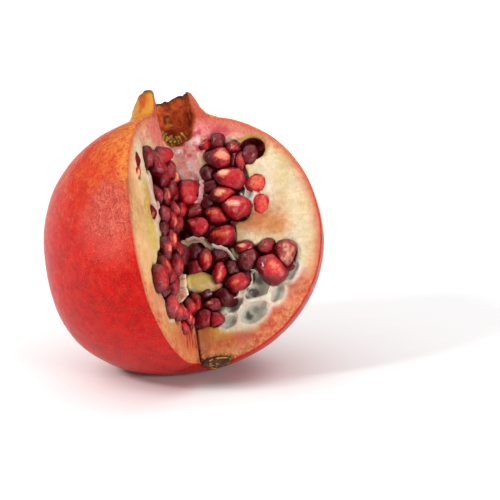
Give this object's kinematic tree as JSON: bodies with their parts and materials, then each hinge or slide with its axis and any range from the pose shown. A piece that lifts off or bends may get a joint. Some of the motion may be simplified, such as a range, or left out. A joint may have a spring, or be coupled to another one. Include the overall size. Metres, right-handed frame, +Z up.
{
  "type": "pomegranate",
  "caption": "Ripe round pomegranate leaning back at rest, with a crown on top and one wedge cut out that bares the seed kernels packed in its pith.",
  "frame": {"origin": "middle of the small flat resting spot under the fruit", "axes": "+Z up from the surface it rests on, -Y towards the open wedge, +X to the right of someone who faces the wedge"},
  "size_m": [0.0982, 0.0971, 0.0983],
  "materials": {
    "rind": "satin waxy skin over matte cream pith",
    "aril": "wet translucent ruby",
    "aril_cut": "moist sliced pulp",
    "stamen": "dry and matte",
    "scar": "rough, matte"
  },
  "bodies": {
    "root": {"husk": "rind", "arils_upper_right": "aril", "arils_upper_left": "aril", "arils_lower_right": "aril", "arils_lower_left": "aril", "arils_branch": "aril", "aril_top_socket": "aril", "aril_cut_upper": "aril_cut", "aril_cut_lower": "aril_cut", "aril_left_upper": "aril_cut", "aril_left_middle": "aril_cut", "aril_left_single": "aril_cut", "stamens": "stamen", "stem_scar": "scar"}
  },
  "joints": []
}
